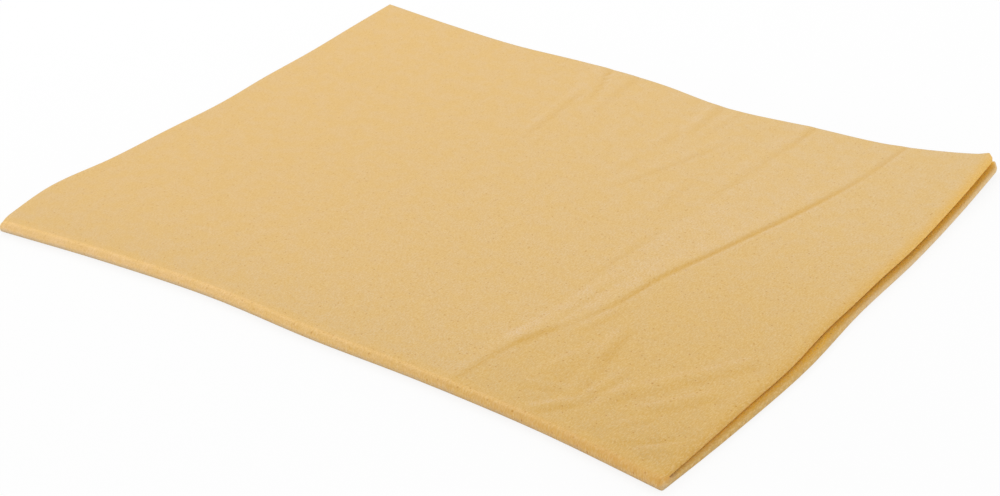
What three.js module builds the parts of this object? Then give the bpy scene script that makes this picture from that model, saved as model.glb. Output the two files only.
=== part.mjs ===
// Synthetic chamois cloth: one nonwoven sheet folded in quarters and lying on a table.
// Millimetres, +Z up. The front fold lies along X at the front, the side fold is at the right-hand end,
// and the sheet's raw edges are at the left and at the back.

import * as THREE from 'three';

// The sheet before it is folded
const SHEET_LENGTH = 400; // along X
const SHEET_WIDTH = 345; // along Y
const CLOTH_THICKNESS = 0.65;

// Clearances
const LAYER_GAP = 0.3; // between layers that lie on each other
const PIECE_GAP = 0.3; // between pieces that follow each other along the sheet
const FOLD_REACH = 6; // flat cloth on each side of a bend that counts as part of the fold

// How far each edge of the folded cloth strays from a straight line, at even steps along it
const FRONT_FOLD_STRAY = [0, 3.3, 4.6, 4, 2.7, 0]; // towards the back, from left to right
const BACK_EDGE_STRAY = [-4.7, -7.4, -8.1, -7.2, -9.3, -9.3, -5.7, 0]; // towards the back, from left to right
const LEFT_EDGE_STRAY = [0, 0, 2.3, 1.6, 1.1]; // towards the right, from front to back
const SIDE_FOLD_STRAY = [0, 2.6, 2.9, 2.5, 2, 1]; // towards the right, from front to back

// How far the upper half springs off the lower half at three corners; at the front left it lies close
const SPRING_FRONT_RIGHT = 1;
const SPRING_BACK_LEFT = 0.5;
const SPRING_BACK_RIGHT = 1.7;
const LOWER_HALF_PROUD = 1; // the lower half's side fold stands out past the upper one

// The back right corner curls up off the table
const CURL_HEIGHT = 1.45;
const CURL_REACH = 60;

// A ridge runs across the upper half, from the front fold to the back edge
const RIDGE_FROM_SIDE_AT_FRONT = 59; // distance from the side fold
const RIDGE_FROM_SIDE_AT_BACK = 24;
const RIDGE_HEIGHT = 0.7;
const RIDGE_RUN = 10; // width of its gentle slope, on the left
const RIDGE_DROP = 2.5; // width of its steep slope, on the right

// Finish
const CHAMOIS_COLOUR = 0xe5c185;
const CHAMOIS_ROUGHNESS = 0.95;

// Facets
const BEND_STEPS = 8; // round each bend
const ROW_STEPS = 14; // from the front fold to the back edge
const RIGHT_STEPS = 4; // from the side fold to the ridge
const RUN_STEPS = 2; // up the ridge's gentle slope
const LEFT_STEPS = 11; // from the ridge to the left edge

// Sizes that follow from the ones above
const PITCH = CLOTH_THICKNESS + LAYER_GAP; // from one layer to the next
const SIDE_RADIUS = PITCH / 2; // two layers turn at the side fold
const FRONT_RADIUS = PITCH; // four layers turn at the front fold
const SIDE_ARC = (SIDE_RADIUS * Math.PI) / 2; // from a fold's middle line to the end of its bend
const FRONT_ARC = (FRONT_RADIUS * Math.PI) / 2;
const LYING_LENGTH = SHEET_LENGTH / 2 - SIDE_ARC; // flat cloth from a bend to the raw edge
const LYING_WIDTH = SHEET_WIDTH / 2 - FRONT_ARC;

const { clamp, lerp, smoothstep } = THREE.MathUtils;

// A smooth curve through values at even steps, read at a share from 0 to 1 of its length
function curveThrough(values) {
  const stations = values.map((value, index) => index / (values.length - 1));
  const curve = new THREE.CubicInterpolant(stations, values, 1);
  return (share) => curve.evaluate(share)[0];
}

const frontStray = curveThrough(FRONT_FOLD_STRAY);
const backStray = curveThrough(BACK_EDGE_STRAY);
const leftStray = curveThrough(LEFT_EDGE_STRAY);
const sideStray = curveThrough(SIDE_FOLD_STRAY);

// Height of the curled corner over the table
function curl(x, y) {
  const distance = Math.hypot(x, y - LYING_WIDTH);
  return CURL_HEIGHT * Math.max(1 - distance / CURL_REACH, 0) ** 2;
}

// Height of the upper half over its closest lie, p along the front fold and q towards the back
function spring(p, q) {
  const front = SPRING_FRONT_RIGHT * p;
  const back = lerp(SPRING_BACK_LEFT, SPRING_BACK_RIGHT, p);
  return lerp(front, back, q);
}

// Distance of the ridge from the side fold, at a distance from the front fold
function ridgeFromSide(fromFront) {
  return lerp(RIDGE_FROM_SIDE_AT_FRONT, RIDGE_FROM_SIDE_AT_BACK, fromFront / LYING_WIDTH);
}

function ridge(x, y) {
  const past = x + ridgeFromSide(y);
  const rise = smoothstep(past, -RIDGE_RUN, 0);
  return RIDGE_HEIGHT * (rise - smoothstep(past, 0, RIDGE_DROP));
}

// Where a point of the neatly folded stack comes to lie; upper is 0 in the lower half and 1 in the upper
function settle(x, y, z, upper) {
  const p = 1 + x / LYING_LENGTH;
  const q = y / LYING_WIDTH;
  const proud = LOWER_HALF_PROUD * (1 - upper);
  return [
    x + lerp(leftStray(q), sideStray(q) + proud, p),
    y + lerp(frontStray(p), backStray(p), q),
    z + curl(x, y) + upper * (spring(p, q) + ridge(x, y)),
  ];
}

// Folds a point of the sheet: first round the side fold, then round the front fold.
// s and t are distances from the two fold lines, s over 0 on the outer leaf and t over 0 on the lower half.
// offset is the height over the middle of the cloth, on the side that the side fold turns outwards.
function fold(s, t, offset) {
  const sideTurn = clamp(s / SIDE_RADIUS, -Math.PI / 2, Math.PI / 2);
  const sideArm = SIDE_RADIUS + offset;
  const x = sideArm * Math.cos(sideTurn) - Math.max(Math.abs(s) - SIDE_ARC, 0);
  const frontTurn = clamp(t / FRONT_RADIUS, -Math.PI / 2, Math.PI / 2);
  const frontArm = FRONT_RADIUS + sideArm * Math.sin(sideTurn);
  const y = Math.max(Math.abs(t) - FRONT_ARC, 0) - frontArm * Math.cos(frontTurn);
  const z = -frontArm * Math.sin(frontTurn);
  return settle(x, y, z, (1 - Math.sin(frontTurn)) / 2);
}

// Values from start to end in even steps, without the end
function steps(start, end, count) {
  return Array.from({ length: count }, (unused, index) => lerp(start, end, index / count));
}

function mirrored(values) {
  return values.map((value) => -value).reverse();
}

// Lines across a fold, with the flat cloth on each side of its bend
function bendLines(arc) {
  return [-arc - FOLD_REACH, ...steps(-arc, arc, BEND_STEPS), arc, arc + FOLD_REACH];
}

// Lines across a flat leaf from the side fold to the left edge, some of them along the ridge
function leafLines(t) {
  const ridgeLine = SIDE_ARC + ridgeFromSide(Math.max(Math.abs(t) - FRONT_ARC, 0));
  const start = SIDE_ARC + FOLD_REACH + PIECE_GAP;
  const end = SHEET_LENGTH / 2;
  return [
    ...steps(start, ridgeLine - RIDGE_DROP, RIGHT_STEPS),
    ridgeLine - RIDGE_DROP,
    ...steps(ridgeLine, ridgeLine + RIDGE_RUN, RUN_STEPS),
    ...steps(ridgeLine + RIDGE_RUN, end, LEFT_STEPS),
    end,
  ];
}

const HALF_ROWS = [
  ...steps(FRONT_ARC + FOLD_REACH + PIECE_GAP, SHEET_WIDTH / 2, ROW_STEPS),
  SHEET_WIDTH / 2,
];
const LOWER_ROWS = HALF_ROWS;
const UPPER_ROWS = mirrored(HALF_ROWS);
const FRONT_FOLD_ROWS = bendLines(FRONT_ARC);
const SIDE_FOLD_LINES = bendLines(SIDE_ARC);

const outerLeaf = (t) => leafLines(t);
const innerLeaf = (t) => mirrored(leafLines(t));
const sideFold = () => SIDE_FOLD_LINES;

// A piece of the sheet as a closed slab: an outer skin, an inner skin and the cut edges round them
function slabGeometry(linesAt, rows) {
  const positions = [];
  for (const offset of [CLOTH_THICKNESS / 2, -CLOTH_THICKNESS / 2]) {
    for (const t of rows) {
      for (const s of linesAt(t)) {
        positions.push(...fold(s, t, offset));
      }
    }
  }
  const width = linesAt(rows[0]).length;
  const height = rows.length;
  const outer = (i, j) => j * width + i;
  const inner = (i, j) => width * height + j * width + i;
  const triangles = [];
  const quad = (a, b, c, d) => triangles.push(a, b, c, a, c, d);
  for (let j = 0; j < height - 1; j += 1) {
    for (let i = 0; i < width - 1; i += 1) {
      quad(outer(i, j), outer(i + 1, j), outer(i + 1, j + 1), outer(i, j + 1));
      quad(inner(i, j), inner(i, j + 1), inner(i + 1, j + 1), inner(i + 1, j));
    }
  }
  const right = width - 1;
  const top = height - 1;
  for (let j = 0; j < top; j += 1) {
    quad(inner(0, j), outer(0, j), outer(0, j + 1), inner(0, j + 1));
    quad(inner(right, j), inner(right, j + 1), outer(right, j + 1), outer(right, j));
  }
  for (let i = 0; i < right; i += 1) {
    quad(inner(i, 0), inner(i + 1, 0), outer(i + 1, 0), outer(i, 0));
    quad(inner(i, top), outer(i, top), outer(i + 1, top), inner(i + 1, top));
  }
  const geometry = new THREE.BufferGeometry();
  geometry.setAttribute('position', new THREE.Float32BufferAttribute(positions, 3));
  geometry.setIndex(triangles);
  geometry.computeVertexNormals();
  return geometry;
}

function clothPiece(name, linesAt, rows) {
  const material = new THREE.MeshStandardMaterial({
    color: CHAMOIS_COLOUR,
    roughness: CHAMOIS_ROUGHNESS,
    metalness: 0,
  });
  const mesh = new THREE.Mesh(slabGeometry(linesAt, rows), material);
  mesh.name = name;
  return mesh;
}

// The lower half: two layers and the side fold that joins them
const lowerHalf = new THREE.Group();
lowerHalf.add(
  clothPiece('bottom_panel', outerLeaf, LOWER_ROWS),
  clothPiece('lower_inner_panel', innerLeaf, LOWER_ROWS),
  clothPiece('lower_side_fold', sideFold, LOWER_ROWS),
);

// The front fold, where both layers turn over, and the corner at the middle of the sheet
const frontFold = new THREE.Group();
frontFold.add(
  clothPiece('outer_front_fold', outerLeaf, FRONT_FOLD_ROWS),
  clothPiece('inner_front_fold', innerLeaf, FRONT_FOLD_ROWS),
  clothPiece('centre_corner', sideFold, FRONT_FOLD_ROWS),
);

// The upper half, which turns over the front fold when the cloth is opened
const upperHalf = new THREE.Group();
upperHalf.add(
  clothPiece('upper_inner_panel', innerLeaf, UPPER_ROWS),
  clothPiece('top_panel', outerLeaf, UPPER_ROWS),
  clothPiece('upper_side_fold', sideFold, UPPER_ROWS),
);

// The origin is at the middle of the underside
const cloth = new THREE.Group();
cloth.add(lowerHalf, frontFold, upperHalf);
const extent = new THREE.Box3().setFromObject(cloth);
const middle = extent.getCenter(new THREE.Vector3());
cloth.position.set(-middle.x, -middle.y, -extent.min.z);

export default cloth;
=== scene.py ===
import math

import bpy
import numpy as np
from mathutils import Matrix, Vector


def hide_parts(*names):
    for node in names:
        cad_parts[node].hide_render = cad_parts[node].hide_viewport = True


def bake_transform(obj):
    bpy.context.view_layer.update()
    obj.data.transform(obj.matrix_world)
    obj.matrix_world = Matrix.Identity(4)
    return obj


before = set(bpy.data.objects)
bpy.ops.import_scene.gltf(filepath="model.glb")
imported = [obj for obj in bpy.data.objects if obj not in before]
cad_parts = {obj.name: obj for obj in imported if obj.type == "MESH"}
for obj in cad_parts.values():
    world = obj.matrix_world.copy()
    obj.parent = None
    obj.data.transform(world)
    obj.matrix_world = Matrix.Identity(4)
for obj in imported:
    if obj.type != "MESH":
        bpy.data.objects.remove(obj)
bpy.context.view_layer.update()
MM = 0.001

# The sheet before it is folded
SHEET_LENGTH = 400  # along X
SHEET_WIDTH = 345  # along Y
THICKNESS = 0.65
LAYER_GAP = 0.08  # between layers that lie on each other

# Where the two fold lines lie in the frame
SIDE_FOLD_X = 97.33
FRONT_FOLD_Y = -84.63

# How far each edge of the folded cloth strays from a straight line, at even steps along it:
# the front and back edges towards the back, from left to right,
# and the left edge and the side fold towards the right, from front to back
FRONT_FOLD_STRAY = [-0.8, 2.8, 4.8, 3.7, 3.8, 2.5, -1]
BACK_EDGE_STRAY = [-5.6, -7.7, -8.7, -7, -7.1, -10, -7.1, -4.7, 3.3]
LEFT_EDGE_STRAY = [0.8, -2.1, 0.4, 1.5, 2.8, 2.3, 2.4, 1.7, 1.2]
SIDE_FOLD_STRAY = [0.1, 2.3, 3.45, 2.3, 2.6, 1.75, 0.25]
# How far the upper half's side fold lies behind the lower one, from front to back
UPPER_SET_BACK = [0.6, 1.35, 1.95, 2.1, 2.45, 1.6, 1.7, 1.45, 1.45, 1.4, 1.4]

# How far the upper half springs off the lower half at three corners; at the front left it lies close
SPRING_FRONT_RIGHT = 0.05
SPRING_BACK_LEFT = 1.05
SPRING_BACK_RIGHT = 1.2

# The back right corner curls up off the floor, and its tips are drawn out and rounded
CURL_HEIGHT = 1.0
CURL_REACH = 60
TIP_ROUNDING = (1.4, 2.3)  # of the lower and of the upper half
TIP_REACH = 3.5
TIP_DRAW = 1.0  # towards the back
TIP_DRAW_REACH = 12

# The front left corner is blunt
BLUNT_TIP = 0.8
BLUNT_TIP_REACH = 4

# The side folds stay a little open, so they are rounder than the layers pressed flat
PUFF = 0.1
PUFF_REACH = 6  # from the fold towards the left
PUFF_FROM_FRONT = 22  # the folds are closed at the front fold and open out over this distance
PUFF_FROM_BACK = 40  # and close again towards the back edge
PUFF_AT_BACK = 0.5  # share of the opening that is left there

# At the middle of the sheet the inner leaf stops short of the front fold,
# and the side folds are pressed square
INNER_RETREAT = 3
RETREAT_REACH = 8
SQUARENESS = 0.35  # exponent of the side fold's round profile there
SQUARE_REACH = (8, 34)  # from the front fold, where it starts to grow round and where it is round

# The main crease across the upper half, at even steps from the front fold to the back edge
CREASE_FROM_SIDE = [60.2, 56.3, 49.2, 44.7, 38.6, 32.7, 26.8, 23.2]
CREASE_STRENGTH = [0.65, 0.7, 0.75, 0.1, 0.6, 1, 1.1, 1.1, 1.05, 1, 0.95, 0.8, 0.5, 0.5, 0.45]
CREASE_HEIGHT = 0.2  # at a strength of 1
CREASE_RUN = 5  # width of its gentle slope, on the left
CREASE_DROP = 1.6  # width of its steep slope, on the right

# Smaller creases: where each starts and ends, from the side fold and from the front fold,
# then its height and the widths of its left and right slopes
SMALL_CREASES = [
    ((57.2, 21), (53.4, 39), 0.22, 5, 2.6),
    ((55.4, 33), (54.2, 64), 0.09, 4, 1.5),
    ((54.8, 55), (52.4, 70), 0.05, 3, 1.4),
    ((48.3, 34), (44.8, 54), 0.10, 2, 1.8),
    ((59.5, 58), (57.6, 96), 0.06, 3, 1.6),
    ((64, 96), (64, 126), 0.05, 4, 1.8),
    ((57, 104), (48.6, 184), 0.06, 5, 1.8),
    ((50.4, 150), (49.6, 190), 0.06, 3, 1.6),
    ((82.4, 102), (64, 157), 0.06, 4, 1.5),
    ((74, 150), (70.3, 178), 0.035, 3, 1.5),
    ((78, 146), (78.4, 182), 0.09, 3, 2),
    ((82.8, 134), (80.6, 152), 0.05, 3, 1.8),
    ((85, 115), (83, 129), 0.06, 3, 2),
    ((111.9, 147), (120.8, 186), 0.13, 8, 1.4),
    ((112, 150), (112.5, 186), 0.06, 4, 6),
    ((107.4, 134), (109, 180), 0.04, 3, 2),
    ((116, 112), (117.4, 158), 0.08, 3, 1.6),
    ((51, 2), (43, 46), 0.2, 40, 13),
    ((45.2, 10), (37.8, 42), 0.15, 3, 5),
    ((33, 9), (36.2, 35), 0.11, 3, 2),
    ((35.8, 27), (39.3, 47), 0.17, 3, 2.2),
    ((31, 8), (28, 32), 0.12, 2, 1.5),
    ((26.2, 9), (24, 28), 0.09, 2.5, 2.5),
    ((28.4, 14), (14, 39), 0.16, 3.2, 3),
    ((19, 30), (4.5, 54), 0.18, 3.4, 3),
    ((20.5, 13), (4, 38), 0.18, 2.8, 2.6),
    ((24.5, 3), (20, 13), 0.06, 2, 1.6),
    ((21, 5), (12, 20), 0.11, 2.2, 1.8),
    ((18, 2), (4, 15.6), 0.16, 10, 1.7),
    ((11, 2.5), (1, 14), 0.15, 2, 3),
    ((39, 1), (30, 13), 0.25, 2.5, 2.2),
    ((47.5, 9), (32.5, 15.8), 0.10, 2.5, 2),
]
SMALL_CREASE_FADE = 0.3  # share of a crease's length over which each end dies away

# Painted shade and sheen: the cloth is drawn a deeper gold in its creases and around the corner where
# both folds meet, where shade falls and the sheen fades, and paler on the rises to the creases, on their
# lips and in a strip on the left of the main crease, where they catch the sheen
SHADE_PER_SLOPE = 6.8
DEEP_BAND = (-0.2, 0.9, 1, 1.5)  # where a crease is deeper, in widths of its drop to the right of its top
LIP_BAND = (1.2, 1.6, 1.6, 2.4)  # where it has a paler lip, in the same measure
LIP_SHARE = 0.3  # how much paler the lip is, at the same slope
PALE_SHARE = 1.4  # the same for the rise to a small crease
MAIN_PALE_SHARE = 0.3  # the same for the rise to the main crease
PALE_STRIP_FROM_SIDE = [62, 60, 58, 56.5, 55, 53.3, 51, 48]  # its left edge, from front to back
PALE_STRIP_SHEEN = [0.1, 0.22, 0.24, 0.22, 0.2, 0.12, 0.05, 0]
PALE_STRIP_START = (-0.5, 1)  # to the right of its left edge, where it is absent and where it is full
PALE_STRIP_END = (1, -2)  # the same to the right of the main crease
CORNER_SHADE = 0.46
CORNER_SHADE_REACH = 135
CORNER_SHADE_PAST_CREASE = 0.6  # share of that tone which starts only on the right of the main crease
CORNER_SHADE_START = (-1, 2)  # to the right of it, where that share starts and where it is full

# The grid over the sheet is finer at its raw edges, its bends and its creases
RAW_EDGE = 0.15  # the raw edges are rounded over this width
ROUNDED = 0.55  # share of the thickness that is left at the cut
LEFT_RIM = 5  # finer cloth along the left edge
BACK_RIM = 4.5  # and along the back edge
SIDE_BEND = 1.2  # reach of the side fold's bend on each leaf
SIDE_RIM = 12  # finer cloth on each side of it
FRONT_RIM = 8  # and on each side of the front fold's bend
CREASE_LINE = 41  # the grid line that follows the main crease
CREASE_REACH = 3  # the finest cloth on each side of it
PALE_REACH = 14  # and finer cloth on its left
CREASED_LENGTH = 132  # the creases lie nearer to the side fold than this
CREASED_WIDTH = 60  # and most of them nearer to the front fold than this

# Places on the cloth for its texture: the outer and the inner skin side by side
UV_SPAN = 830.0  # across the whole layout
UV_MARGIN = 5.0

# Sizes that follow from the ones above
HALF_LENGTH = SHEET_LENGTH / 2
HALF_WIDTH = SHEET_WIDTH / 2
PITCH = THICKNESS + LAYER_GAP
SIDE_RADIUS = PITCH / 2  # two layers turn at the side fold
FRONT_RADIUS = PITCH  # four layers turn at the front fold
SIDE_ARC = SIDE_RADIUS * math.pi / 2  # from a fold's middle line to the flat cloth
FRONT_ARC = FRONT_RADIUS * math.pi / 2
OUTER_FRONT_ARC = (FRONT_RADIUS + SIDE_RADIUS) * math.pi / 2  # of the outer leaf
LYING_LENGTH = HALF_LENGTH - SIDE_ARC
LYING_WIDTH = HALF_WIDTH - FRONT_ARC
HALF_STACK = FRONT_RADIUS + SIDE_RADIUS + THICKNESS / 2
UV_MIDDLE = (HALF_LENGTH + UV_MARGIN, HALF_WIDTH + UV_MARGIN, 0)  # where the folds cross, outer skin


def smooth(value, start, end):
    """0 before start, 1 after end and a smooth change between them."""
    share = np.clip((value - start) / (end - start), 0, 1)
    return share * share * (3 - 2 * share)


def band(value, start, full, fading, end):
    """1 between full and fading, 0 before start and after end and smooth changes between them."""
    return smooth(value, start, full) * smooth(value, end, fading)


def curve_through(values, share):
    """A smooth curve through values at even steps, read at a share from 0 to 1 of its length."""
    values = np.asarray(values, float)
    padded = np.concatenate([[2 * values[0] - values[1]], values, [2 * values[-1] - values[-2]]])
    along = np.clip(share, 0, 1) * (len(values) - 1)
    step = np.minimum(along.astype(int), len(values) - 2)
    f = along - step
    a, b, c, d = (padded[step + k] for k in range(4))
    return b + 0.5 * f * (c - a + f * (2 * a - 5 * b + 4 * c - d + f * (3 * (b - c) + d - a)))


def lerp(a, b, share):
    return a + (b - a) * share


def curl(x, y):
    """Height of the curled corner over the floor."""
    distance = np.hypot(x, y - LYING_WIDTH)
    return CURL_HEIGHT * np.maximum(1 - distance / CURL_REACH, 0) ** 2


def spring(p, q):
    """Height of the upper half over its closest lie, p along the front fold and q towards the back."""
    return lerp(SPRING_FRONT_RIGHT * p, lerp(SPRING_BACK_LEFT, SPRING_BACK_RIGHT, p), q)


def crease_from_side(q):
    return curve_through(CREASE_FROM_SIDE, q)


def creases(x, y):
    """Each crease as its height here, the distance to the right of its top, the widths of its slopes
    and how much paler its rise is."""
    q = y / LYING_WIDTH
    strength = np.maximum(curve_through(CREASE_STRENGTH, q), 0)
    yield CREASE_HEIGHT * strength, x + crease_from_side(q), CREASE_RUN, CREASE_DROP, MAIN_PALE_SHARE
    for start, end, height, run, drop in SMALL_CREASES:
        length = math.dist(start, end)
        rightwards = (start[0] - end[0]) / length
        backwards = (end[1] - start[1]) / length
        from_start = x + start[0], y - start[1]
        share = (from_start[0] * rightwards + from_start[1] * backwards) / length
        fade = band(share, 0, SMALL_CREASE_FADE, 1 - SMALL_CREASE_FADE, 1)
        past = from_start[0] * backwards - from_start[1] * rightwards
        yield height * fade, past, run, drop, PALE_SHARE


def relief(x, y):
    """Height of the creases in the upper half: gentle rises from the left, and drops that end sharply."""
    total = 0
    for height, past, run, drop, _ in creases(x, y):
        total = total + height * (smooth(past, -run, 0) - np.clip(past / drop, 0, 1) ** 2)
    return total


def crease_shade_and_sheen(x, y):
    """Painted shade and sheen: 0 for the plain cloth, up to 1 of painted shade in a crease, and under 0,
    a painted sheen, on the paler rise to it, on its lip and in the strip left of the main crease.
    """
    total = 0
    for height, past, run, drop, pale_share in creases(x, y):
        deep = band(past / drop, *DEEP_BAND) / drop
        pale = band(past, -run, -run / 2, -run / 2, 0) / run
        lip = band(past / drop, *LIP_BAND) / drop
        total = total + SHADE_PER_SLOPE * height * (deep - pale_share * pale - LIP_SHARE * lip)
    q = y / LYING_WIDTH
    strip = smooth(x + curve_through(PALE_STRIP_FROM_SIDE, q), *PALE_STRIP_START)
    strip = strip * smooth(x + crease_from_side(q), *PALE_STRIP_END)
    return total - strip * curve_through(PALE_STRIP_SHEEN, q)


def corner_painted_shade(x, y):
    """Painted shade: 0 far from the corner where both folds meet, and at its full strength at it."""
    past_crease = smooth(x + crease_from_side(y / LYING_WIDTH), *CORNER_SHADE_START)
    near_corner = 1 - smooth(np.hypot(x, y), 0, CORNER_SHADE_REACH)
    return CORNER_SHADE * near_corner * lerp(1 - CORNER_SHADE_PAST_CREASE, 1, past_crease)


def settle(x, y, z, upper, outer):
    """Where a point of the neatly folded stack comes to lie. upper is 0 in the lower half and 1 in the
    upper; outer is 0 in the inner leaf and 1 in the outer."""
    p = 1 + x / LYING_LENGTH
    q = y / LYING_WIDTH
    right = curve_through(SIDE_FOLD_STRAY, q) - curve_through(UPPER_SET_BACK, q) * upper
    front = curve_through(FRONT_FOLD_STRAY, p)
    back = curve_through(BACK_EDGE_STRAY, p)
    left = curve_through(LEFT_EDGE_STRAY, q) + BLUNT_TIP * np.clip(1 - y / BLUNT_TIP_REACH, 0, 1) ** 2
    near_back = np.clip(1 - (LYING_WIDTH - y) / TIP_REACH, 0, 1)
    near_side = np.clip(1 + x / TIP_REACH, 0, 1)
    return (
        x + lerp(left, right, p) - lerp(*TIP_ROUNDING, upper) * near_back**2 * near_side,
        y + lerp(front, back + TIP_DRAW * np.clip(1 + x / TIP_DRAW_REACH, 0, 1) ** 2, q),
        z + curl(x, y) + upper * (spring(p, q) + outer * relief(x, y)),
    )


def fold(s, t, offset):
    """Folds points of the sheet: first round the side fold, then round the front fold.
    s and t are distances from the two fold lines, s over 0 on the outer leaf, t over 0 on the lower half.
    offset is the height over the middle of the cloth, on the side that the side fold turns outwards.
    Gives the place in the neatly folded stack, and how far it is in the upper half and the outer leaf."""
    from_front = np.abs(t)
    from_back = HALF_WIDTH - from_front
    opening = PUFF * smooth(from_front, 0, PUFF_FROM_FRONT)
    opening = opening * lerp(PUFF_AT_BACK, 1, smooth(from_back, 0, PUFF_FROM_BACK))
    side_arc = (SIDE_RADIUS + opening) * math.pi / 2
    lying = np.maximum(np.abs(s) - side_arc, 0)
    puff = opening * (1 - smooth(lying, 0, PUFF_REACH))
    side_turn = np.clip(s / (SIDE_RADIUS + opening), -math.pi / 2, math.pi / 2)
    side_arm = SIDE_RADIUS + puff + offset
    roundness = lerp(SQUARENESS, 1, smooth(from_front, *SQUARE_REACH))
    x = side_arm * np.cos(side_turn) ** roundness - lying
    front_radius = FRONT_RADIUS + SIDE_RADIUS * np.sin(side_turn)
    front_turn = np.clip(t / front_radius, -math.pi / 2, math.pi / 2)
    front_arm = FRONT_RADIUS + side_arm * np.sin(side_turn)
    retreat = INNER_RETREAT * (1 - np.sin(side_turn)) / 2 * smooth(from_front, RETREAT_REACH, 0)
    retreat = retreat * (1 - smooth(lying, 0, PUFF_REACH))
    y = np.maximum(from_front - front_radius * math.pi / 2, 0) - front_arm * np.cos(front_turn) + retreat
    z = puff - front_arm * np.sin(front_turn)
    return x, y, z, (1 - np.sin(front_turn)) / 2, (1 + np.sin(side_turn)) / 2


def lines(start, *stretches):
    """Grid lines from start on; each stretch gives where it ends and its number of steps."""
    values = [start]
    for end, count in stretches:
        values.extend(np.linspace(values[-1], end, count + 1)[1:])
    return np.array(values)


S_LINES = lines(
    -HALF_LENGTH,
    (-HALF_LENGTH + RAW_EDGE, 1), (-HALF_LENGTH + LEFT_RIM, 3), (-SIDE_RIM, 22),
    (-SIDE_BEND, 8), (SIDE_BEND, 28), (SIDE_RIM, 18),
    (CREASE_LINE - CREASE_REACH, 60), (CREASE_LINE + CREASE_REACH, 14), (CREASE_LINE + PALE_REACH, 12),
    (CREASED_LENGTH, 74), (HALF_LENGTH - LEFT_RIM, 26), (HALF_LENGTH - RAW_EDGE, 3), (HALF_LENGTH, 1),
)
T_LINES = lines(
    -HALF_WIDTH,
    (-HALF_WIDTH + RAW_EDGE, 1), (-HALF_WIDTH + BACK_RIM, 3), (-CREASED_WIDTH, 40), (-FRONT_RIM, 66),
    (-OUTER_FRONT_ARC, 8), (OUTER_FRONT_ARC, 28), (FRONT_RIM, 5),
    (HALF_WIDTH - BACK_RIM, 24), (HALF_WIDTH - RAW_EDGE, 3), (HALF_WIDTH, 1),
)


def sheet_grid():
    """Points of the flat sheet, with one line of the grid drawn over to the main crease."""
    s, t = np.meshgrid(S_LINES, T_LINES)
    q = np.maximum(np.abs(t) - OUTER_FRONT_ARC, 0) / LYING_WIDTH
    follow = np.interp(s, [SIDE_RIM, CREASE_LINE, HALF_LENGTH - LEFT_RIM], [0, 1, 0])
    return s + follow * (crease_from_side(q) + SIDE_ARC - CREASE_LINE), t


def quads(a, b, c, d):
    return np.stack([a.ravel(), b.ravel(), c.ravel(), d.ravel()], 1)


def cloth_faces(rows, columns):
    """Faces of the outer skin, of the inner skin and of the cut edges round them."""
    outer = np.arange(rows * columns).reshape(rows, columns)
    inner = outer + rows * columns
    return np.concatenate([
        quads(outer[:-1, :-1], outer[:-1, 1:], outer[1:, 1:], outer[1:, :-1]),
        quads(inner[:-1, :-1], inner[1:, :-1], inner[1:, 1:], inner[:-1, 1:]),
        quads(inner[:-1, 0], outer[:-1, 0], outer[1:, 0], inner[1:, 0]),
        quads(inner[:-1, -1], inner[1:, -1], outer[1:, -1], outer[:-1, -1]),
        quads(inner[0, :-1], inner[0, 1:], outer[0, 1:], outer[0, :-1]),
        quads(inner[-1, :-1], outer[-1, :-1], outer[-1, 1:], inner[-1, 1:]),
    ])


def add_layout(mesh, faces, s, t):
    """Lays both skins out flat for the texture, with the cut edges round the outer one."""
    count = s.size
    u = s.ravel() + UV_MIDDLE[0]
    v = t.ravel() + UV_MIDDLE[1]
    spots = np.concatenate([np.stack([u, v], 1), np.stack([u + SHEET_LENGTH + 2 * UV_MARGIN, v], 1)])
    uv = spots[faces]
    is_rim = (faces >= count).any(1) & (faces < count).any(1)
    rim = faces[is_rim]
    on_inner = rim >= count
    base = spots[np.where(on_inner, rim - count, rim)]
    from_middle = base - UV_MIDDLE[:2]
    outwards = np.sign(from_middle) * (np.abs(from_middle) >= [HALF_LENGTH - 1e-6, HALF_WIDTH - 1e-6])
    uv[is_rim] = base + outwards * on_inner[..., None] * THICKNESS
    layer = mesh.uv_layers.new(name="OFBake")
    layer.data.foreach_set("uv", (uv / UV_SPAN).ravel())


def cloth_mesh():
    s, t = sheet_grid()
    inside = np.minimum(HALF_LENGTH - np.abs(s), HALF_WIDTH - np.abs(t))
    half = THICKNESS / 2 * lerp(ROUNDED, 1, np.clip(inside / RAW_EDGE, 0, 1))
    points = []
    # Painted shade and sheen of the creases and painted shade of the corner, kept on the points
    tones = {"crease_shade_and_sheen": [], "corner_painted_shade": []}
    for side in (1, -1):
        x, y, z, upper, outer = fold(s, t, side * half)
        points.append(np.stack(settle(x, y, z, upper, outer), -1).reshape(-1, 3))
        tones["crease_shade_and_sheen"].append((crease_shade_and_sheen(x, y) * upper * outer).ravel())
        tones["corner_painted_shade"].append(corner_painted_shade(x, y).ravel())
    points = np.concatenate(points) + [SIDE_FOLD_X, FRONT_FOLD_Y, HALF_STACK]
    faces = cloth_faces(*s.shape)
    mesh = bpy.data.meshes.new("chamois_sheet")
    mesh.from_pydata((points * MM).tolist(), [], faces.tolist())
    mesh.polygons.foreach_set("use_smooth", np.ones(len(faces), bool))
    for name, values in tones.items():
        mesh.attributes.new(name, "FLOAT", "POINT").data.foreach_set("value", np.concatenate(values))
    add_layout(mesh, faces, s, t)
    return mesh


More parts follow.
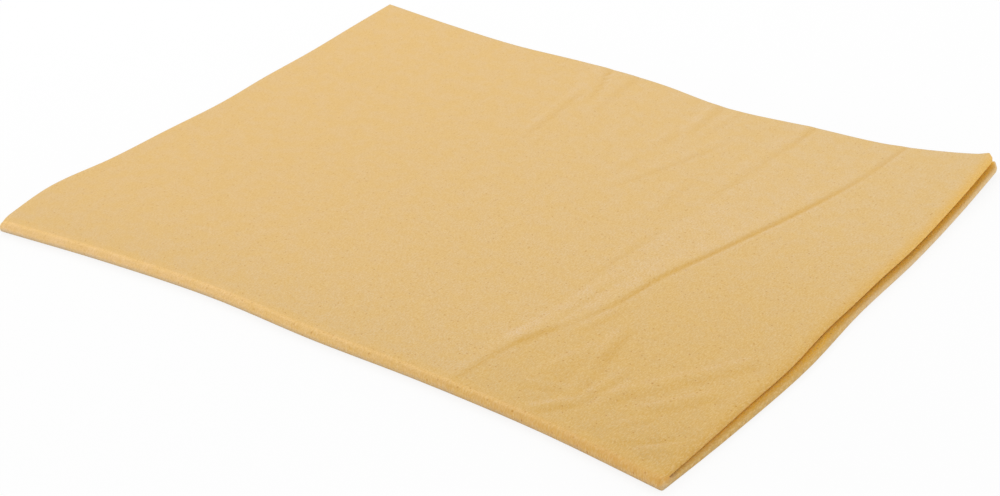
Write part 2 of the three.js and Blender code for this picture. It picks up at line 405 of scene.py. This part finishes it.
class Nodes:
    """The nodes of a material or of the world, with short forms for the steps that repeat."""

    def __init__(self, owner):
        owner.use_nodes = True
        self.tree = owner.node_tree
        self.tree.nodes.clear()

    def add(self, kind, inputs=None, **settings):
        node = self.tree.nodes.new(kind)
        for name, value in settings.items():
            setattr(node, name, value)
        for name, value in (inputs or {}).items():
            if isinstance(value, bpy.types.NodeSocket):
                self.tree.links.new(value, node.inputs[name])
            else:
                node.inputs[name].default_value = value
        return node

    def maths(self, operation, first, *others):
        """One operation on two values, or on more of them in turn."""
        for other in others:
            first = self.add("ShaderNodeMath", {0: first, 1: other}, operation=operation).outputs[0]
        return first

    def product(self, *values):
        return self.maths("MULTIPLY", *values)

    def largest(self, *values):
        return self.maths("MAXIMUM", *values)

    def distance(self, value, middle):
        return self.maths("ABSOLUTE", self.maths("SUBTRACT", value, middle), 0.0)

    def ranged(self, value, low, high, to_low=0.0, to_high=1.0):
        """to_low up to low, to_high from high on and a smooth change between them."""
        inputs = {"Value": value, "From Min": low, "From Max": high, "To Min": to_low, "To Max": to_high}
        return self.add("ShaderNodeMapRange", inputs, interpolation_type="SMOOTHSTEP").outputs["Result"]

    def near(self, value, middle, core, reach, share=1.0):
        """A share up to the distance core from middle, falling to 0 at reach."""
        return self.ranged(self.distance(value, middle), core, reach, share, 0.0)

    def mixed(self, share, a, b):
        return self.add("ShaderNodeMix", {0: share, 6: a, 7: b}, data_type="RGBA").outputs[2]

    def noise(self, where, scale, detail):
        inputs = {"Vector": where, "Scale": scale, "Detail": detail, "Roughness": 0.6}
        return self.add("ShaderNodeTexNoise", inputs, noise_dimensions="2D").outputs["Fac"]

    def tone(self, name):
        return self.add("ShaderNodeAttribute", attribute_name=name).outputs["Fac"]

    def seen_by(self, *rays):
        """1 for rays of these kinds and 0 for all others."""
        path = self.add("ShaderNodeLightPath")
        return self.largest(*(path.outputs[ray] for ray in rays))


def srgb(red, green, blue):
    """A colour written as it shows on screen, 0 to 255, in linear light."""
    def linear(value):
        value = value / 255
        return value / 12.92 if value <= 0.04045 else ((value + 0.055) / 1.055) ** 2.4
    return (linear(red), linear(green), linear(blue), 1)


# Colours of the cloth: plain, and its painted shade and sheen in its creases, on the rises to them,
# around the corner where both folds meet and along the front fold
CLOTH_RIGHT = srgb(224, 195, 147)
CLOTH_LEFT = srgb(224, 191, 139)
RISE_PAINTED_SHEEN = srgb(232, 209, 180)
CREASE_PAINTED_SHADE = srgb(211, 167, 92)
CORNER_SHADE_GOLD = srgb(204, 163, 72)
CORNER_SHADE_DARK = srgb(176, 134, 46)
FRONT_FOLD_SHADE = srgb(170, 160, 140)

# Colours of the folds, painted light and shade, and of the raw edges
# Painted bounce light in the side fold
SIDE_BOUNCE_FRONT = srgb(206, 158, 62)
SIDE_BOUNCE_BACK = srgb(238, 182, 54)
SIDE_BOUNCE_INSIDE = srgb(254, 196, 42)
# Painted light and shade on the front fold, and a painted highlight and shade at its shoulder
FRONT_SHADED_GOLD_RIGHT = srgb(217, 160, 83)
FRONT_LIT_GOLD_MIDDLE = srgb(250, 196, 108)
FRONT_LIT_GOLD_LEFT = srgb(252, 207, 148)
SHOULDER_HIGHLIGHT = srgb(248, 209, 150)
SHOULDER_SHADE_GOLD = srgb(250, 192, 60)
# Painted shade where the folds turn under
FRONT_UNDER_SHADE = srgb(144, 160, 168)
SIDE_UNDER_SHADE_FRONT = srgb(140, 146, 136)
SIDE_UNDER_BACK = srgb(194, 206, 214)
# The raw edges' own colour
EDGE_GREY = srgb(204, 196, 172)

# Colours of the texture and of the nap
CLOUD = srgb(226, 184, 90)
MOTTLE = srgb(214, 168, 94)
GRAIN = srgb(210, 164, 84)
STRAND = srgb(240, 212, 160)
PINHOLE = srgb(180, 118, 46)
NAP = srgb(240, 190, 100)

STRAND_ANGLES = (0.5, 1.7, 2.7)  # radians, on the sheet
STRAND_SCALE = (2.8, 0.8, 1)  # finer across a strand than along it
BUMP_STRENGTH = 0.5
BUMP_DEPTH = 0.12


def cloth_colour_and_painted_shade(nodes, from_side, from_front, from_corner):
    """Colour of the whole cloth, with painted shade, a deeper gold in the creases, around the corner
    where both folds meet and along the front fold, and painted sheen, paler on the rises to the creases.
    """
    colour = nodes.mixed(nodes.ranged(from_side, 20.0, 190.0), CLOTH_RIGHT, CLOTH_LEFT)
    colour = nodes.mixed(nodes.product(nodes.tone("crease_shade_and_sheen"), -1.0), colour, RISE_PAINTED_SHEEN)
    colour = nodes.mixed(nodes.tone("crease_shade_and_sheen"), colour, CREASE_PAINTED_SHADE)
    # Painted shade around the corner where both folds meet: a deeper gold, and darker still close to it
    colour = nodes.mixed(nodes.tone("corner_painted_shade"), colour, CORNER_SHADE_GOLD)
    colour = nodes.mixed(nodes.ranged(from_corner, 3.0, 40.0, 0.2, 0.0), colour, CORNER_SHADE_DARK)
    # Painted shade: slightly duller along the front fold, where the top curves down
    front_fold_shade = nodes.near(from_front, middle=0.0, core=5.0, reach=35.0, share=0.06)
    return nodes.mixed(front_fold_shade, colour, FRONT_FOLD_SHADE)


def side_fold_painted_bounce(nodes, colour, from_side, from_front):
    """Painted bounce light in the side fold: a warm gold, deepest and brightest inside, where light
    bounces between the layers, darker near the front fold and lighter towards the back.
    """
    towards_back = nodes.ranged(nodes.distance(from_front, 30.0), 40.0, 200.0)
    gold = nodes.mixed(towards_back, SIDE_BOUNCE_FRONT, SIDE_BOUNCE_BACK)
    colour = nodes.mixed(nodes.near(from_side, middle=-3.0, core=0.5, reach=7.0), colour, gold)
    inside = nodes.near(from_side, middle=-2.9, core=0.6, reach=2.6)
    inside = nodes.product(inside, nodes.ranged(from_front, -2.0, 2.0))
    return nodes.mixed(inside, colour, SIDE_BOUNCE_INSIDE)


def front_fold_painted_light(nodes, colour, from_side, from_front):
    """Painted light and shade on the front fold: a deeper gold at the right, where less light falls, a
    paler one at the left, where more falls, a painted highlight on its shoulder and a thin band of
    painted shade behind that.
    """
    on_fold = nodes.near(from_front, middle=0.0, core=1.0, reach=3.5)
    at_right = nodes.product(on_fold, nodes.ranged(from_side, 0.0, 120.0, 0.75, 0.0))
    at_left = nodes.product(on_fold, nodes.ranged(from_side, 20.0, 130.0, 0.0, 0.45))
    pale = nodes.mixed(nodes.ranged(from_side, 60.0, 180.0), FRONT_LIT_GOLD_MIDDLE, FRONT_LIT_GOLD_LEFT)
    colour = nodes.mixed(at_right, colour, FRONT_SHADED_GOLD_RIGHT)
    colour = nodes.mixed(at_left, colour, pale)
    # Painted highlight along the fold's shoulder
    shoulder = nodes.near(from_front, middle=-1.9, core=0.2, reach=0.9)
    shoulder = nodes.product(shoulder, nodes.ranged(from_side, 0.0, 60.0, 0.1, 0.6))
    colour = nodes.mixed(shoulder, colour, SHOULDER_HIGHLIGHT)
    # Painted shade: a thin deeper gold band behind the shoulder
    behind = nodes.near(from_front, middle=-3.4, core=0.4, reach=2.2, share=0.11)
    return nodes.mixed(behind, colour, SHOULDER_SHADE_GOLD)


def underside_painted_shade(nodes, colour, from_side, from_front):
    """Painted shade where both folds turn under; along the side fold it goes from a dark grey at the
    front to a pale grey towards the back.
    """
    front = nodes.product(
        nodes.ranged(from_front, -0.6, 0.5, 0.0, 0.5), nodes.ranged(from_front, 2.0, 5.0, 1.0, 0.0),
        nodes.ranged(from_side, -3.0, 0.0))
    colour = nodes.mixed(front, colour, FRONT_UNDER_SHADE)
    side = nodes.product(
        nodes.ranged(from_side, -1.2, 0.1, 0.0, 0.45), nodes.ranged(from_side, 2.0, 5.0, 1.0, 0.0),
        nodes.ranged(from_front, 0.0, 2.0))
    under_shade = nodes.mixed(nodes.ranged(from_front, 60.0, 100.0), SIDE_UNDER_SHADE_FRONT, SIDE_UNDER_BACK)
    return nodes.mixed(side, colour, under_shade)


def raw_edge_tints(nodes, colour, from_side, from_front):
    """The raw edges are a little greyer."""
    left = nodes.ranged(nodes.distance(from_side, 0.0), HALF_LENGTH - 0.6, HALF_LENGTH - 0.1, 0.0, 0.3)
    back = nodes.ranged(nodes.distance(from_front, 0.0), HALF_WIDTH - 1.0, HALF_WIDTH - 0.2, 0.0, 0.3)
    return nodes.mixed(nodes.largest(left, back), colour, EDGE_GREY)


def strand_pattern(nodes, spot, angle):
    inputs = {"Vector": spot, "Rotation": (0, 0, angle), "Scale": STRAND_SCALE}
    return nodes.noise(nodes.add("ShaderNodeMapping", inputs).outputs[0], 1.0, 2.0)


def pinhole_pattern(nodes, spot):
    cells = nodes.add("ShaderNodeTexVoronoi", {"Vector": spot, "Scale": 0.7}, voronoi_dimensions="2D")
    cell_colour = nodes.add("ShaderNodeSeparateColor", {0: cells.outputs["Color"]})
    depth = nodes.ranged(cell_colour.outputs[0], 0.78, 1.0)
    return nodes.product(nodes.ranged(cells.outputs["Distance"], 0.05, 0.22, 1.0, 0.0), depth)


def nonwoven_texture(nodes, colour, spot, from_corner):
    """Fine clouding, grain, strands and pinholes, stronger near the corner where the folds meet.
    Gives the colour and the height of the surface."""
    rough = nodes.ranged(from_corner, 10.0, 230.0, 1.35, 0.65)
    clouds = nodes.ranged(nodes.noise(spot, 0.19, 2.0), 0.32, 0.68)
    mottle = nodes.ranged(nodes.noise(spot, 0.5, 4.0), 0.3, 0.7)
    grain = nodes.ranged(nodes.noise(spot, 2.2, 2.0), 0.3, 0.7)
    strands = nodes.largest(*(strand_pattern(nodes, spot, angle) for angle in STRAND_ANGLES))
    strands = nodes.ranged(strands, 0.5, 0.75)
    pinholes = pinhole_pattern(nodes, spot)
    colour = nodes.mixed(nodes.product(clouds, 0.24), colour, CLOUD)
    colour = nodes.mixed(nodes.product(mottle, rough, 0.17), colour, MOTTLE)
    colour = nodes.mixed(nodes.product(grain, rough, 0.5), colour, GRAIN)
    colour = nodes.mixed(nodes.product(strands, rough, 0.25), colour, STRAND)
    colour = nodes.mixed(nodes.product(pinholes, rough, 0.45), colour, PINHOLE)
    height = nodes.maths("ADD", nodes.product(mottle, 0.6), nodes.product(strands, 0.5))
    height = nodes.maths("SUBTRACT", height, nodes.product(pinholes, 1.2))
    return colour, height


def chamois_material():
    material = bpy.data.materials.new("chamois_nonwoven")
    nodes = Nodes(material)
    layout = nodes.add("ShaderNodeUVMap", uv_map="OFBake").outputs["UV"]
    to_sheet = {0: layout, 1: (UV_SPAN,) * 3, 2: [-c for c in UV_MIDDLE]}
    spot = nodes.add("ShaderNodeVectorMath", to_sheet, operation="MULTIPLY_ADD").outputs[0]
    axes = nodes.add("ShaderNodeSeparateXYZ", {0: spot})
    from_side, from_front = axes.outputs[0], axes.outputs[1]
    from_corner = nodes.add("ShaderNodeVectorMath", {0: spot}, operation="LENGTH").outputs["Value"]
    colour = cloth_colour_and_painted_shade(nodes, from_side, from_front, from_corner)
    for tints in (side_fold_painted_bounce, front_fold_painted_light, underside_painted_shade, raw_edge_tints):
        colour = tints(nodes, colour, from_side, from_front)
    colour, height = nonwoven_texture(nodes, colour, spot, from_corner)
    bump = nodes.add("ShaderNodeBump", {
        "Strength": BUMP_STRENGTH, "Distance": BUMP_DEPTH * MM, "Height": height})
    shader = nodes.add("ShaderNodeBsdfPrincipled", {
        "Base Color": colour, "Normal": bump.outputs[0], "Roughness": 0.9, "Specular IOR Level": 0.15,
        "Sheen Weight": 0.12, "Sheen Roughness": 0.5, "Sheen Tint": NAP,
    })
    nodes.add("ShaderNodeOutputMaterial", {0: shader.outputs[0]})
    return material


def add_object(name, data):
    thing = bpy.data.objects.new(name, data)
    bpy.context.scene.collection.objects.link(thing)
    return thing


# The cloth
mesh = cloth_mesh()
mesh.materials.append(chamois_material())
cloth = add_object("chamois_cloth", mesh)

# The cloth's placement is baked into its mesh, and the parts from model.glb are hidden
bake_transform(cloth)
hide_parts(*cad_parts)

# The floor
FLOOR_HALF = 4000
FLOOR_DROP = 0.05  # under the cloth, so that the two don't share a surface
FLOOR_WHITE_SHARE = 0.85
FLOOR_PAPER = (0.9, 0.9, 0.9, 1)
WHITE = (1, 1, 1, 1)


def floor_material():
    """White where the camera sees it, with a faint trace of the real shading, so the shadow stays."""
    material = bpy.data.materials.new("white_floor")
    nodes = Nodes(material)
    seen = nodes.seen_by("Is Camera Ray", "Is Glossy Ray", "Is Transmission Ray")
    share = nodes.product(seen, FLOOR_WHITE_SHARE)
    paper = nodes.add("ShaderNodeBsdfDiffuse", {"Color": FLOOR_PAPER})
    white = nodes.add("ShaderNodeEmission", {"Color": WHITE, "Strength": 1.0})
    both = nodes.add("ShaderNodeMixShader", {0: share, 1: paper.outputs[0], 2: white.outputs[0]})
    nodes.add("ShaderNodeOutputMaterial", {0: both.outputs[0]})
    return material


floor_mesh = bpy.data.meshes.new("floor")
corner_signs = ((-1, -1), (1, -1), (1, 1), (-1, 1))
corners = [(x * FLOOR_HALF * MM, y * FLOOR_HALF * MM, 0) for x, y in corner_signs]
floor_mesh.from_pydata(corners, [], [(0, 1, 2, 3)])
floor_mesh.materials.append(floor_material())
floor = add_object("floor", floor_mesh)
floor.location.z = -FLOOR_DROP * MM


def softbox(name, place_m, size_m, power, target_m=(0, 0, 0)):
    light = bpy.data.lights.new(name, "AREA")
    light.size = size_m
    light.energy = power
    lamp = add_object(name, light)
    lamp.location = place_m
    lamp.rotation_euler = (Vector(target_m) - Vector(place_m)).to_track_quat("-Z", "Y").to_euler()
    lamp.visible_camera = False


# Soft studio light from all round, a little stronger from the back left,
# with low fills at the front and at the right
softbox("key", place_m=(-0.43, 0.36, 0.6), size_m=0.36, power=1.75)
softbox("front_fill", place_m=(-0.32, -0.5, 0.05), size_m=0.2, power=0.6, target_m=(-0.1, -0.08, 0))
softbox("right_fill", place_m=(0.5, 0.22, 0.035), size_m=0.1, power=0.4, target_m=(0.1, 0.03, 0))

AMBIENT = 0.845  # strength of the light from all round
BACKDROP = 1.0  # strength at which the world shows behind the floor


def add_world():
    world = bpy.data.worlds.new("studio")
    bpy.context.scene.world = world
    nodes = Nodes(world)
    seen = nodes.seen_by("Is Camera Ray", "Is Transmission Ray")
    strength = nodes.add("ShaderNodeMapRange", {"Value": seen, "To Min": AMBIENT, "To Max": BACKDROP})
    background = nodes.add("ShaderNodeBackground", {"Color": WHITE, "Strength": strength.outputs[0]})
    nodes.add("ShaderNodeOutputWorld", {0: background.outputs[0]})


add_world()

# The camera
AZIMUTH = math.radians(34.56)  # towards the right of the front
ELEVATION = math.radians(29.91)
DISTANCE = 560.9  # from the target
TARGET = Vector((10.1, -19.95, 0))
SENSOR_WIDTH = 36
LENS = 79.2
NEAREST = 10  # what is closer than this isn't shown


def add_camera():
    data = bpy.data.cameras.new("camera")
    data.sensor_width = SENSOR_WIDTH
    data.lens = LENS
    data.clip_start = NEAREST * MM
    camera = add_object("camera", data)
    level = math.cos(ELEVATION)
    back = Vector((math.sin(AZIMUTH) * level, -math.cos(AZIMUTH) * level, math.sin(ELEVATION)))
    right = Vector((math.cos(AZIMUTH), math.sin(AZIMUTH), 0))
    turn = Matrix((right, back.cross(right), back)).transposed().to_4x4()
    camera.matrix_world = Matrix.Translation((TARGET + back * DISTANCE) * MM) @ turn
    bpy.context.scene.camera = camera


add_camera()
bpy.context.scene.view_settings.view_transform = "Standard"
